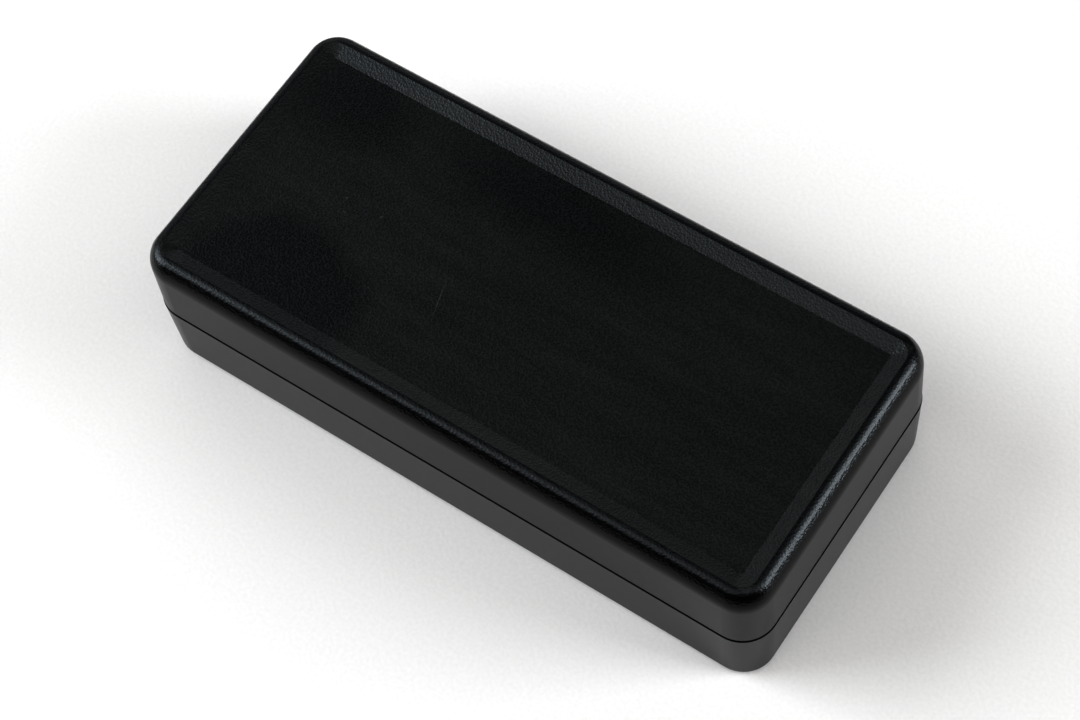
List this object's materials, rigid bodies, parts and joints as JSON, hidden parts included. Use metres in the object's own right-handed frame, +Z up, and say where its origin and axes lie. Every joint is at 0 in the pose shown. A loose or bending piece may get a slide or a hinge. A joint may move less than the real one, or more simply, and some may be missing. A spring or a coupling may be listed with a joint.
{
  "type": "plastic project box",
  "caption": "Black plastic enclosure in two moulded shells, with a bevelled shallow label recess in the lid and screws from underneath.",
  "frame": {"origin": "centre of the underside, on the surface the box stands on", "axes": "+X along the length, +Y across the width, +Z up out of the lid"},
  "size_m": [0.1, 0.046, 0.025],
  "materials": {
    "black_plastic": "fine leather grain",
    "screw_steel": "zinc plated"
  },
  "bodies": {
    "root": {"top_shell": "black_plastic", "bottom_shell": "black_plastic", "screw_1": "screw_steel", "screw_2": "screw_steel", "screw_3": "screw_steel", "screw_4": "screw_steel"}
  },
  "joints": []
}
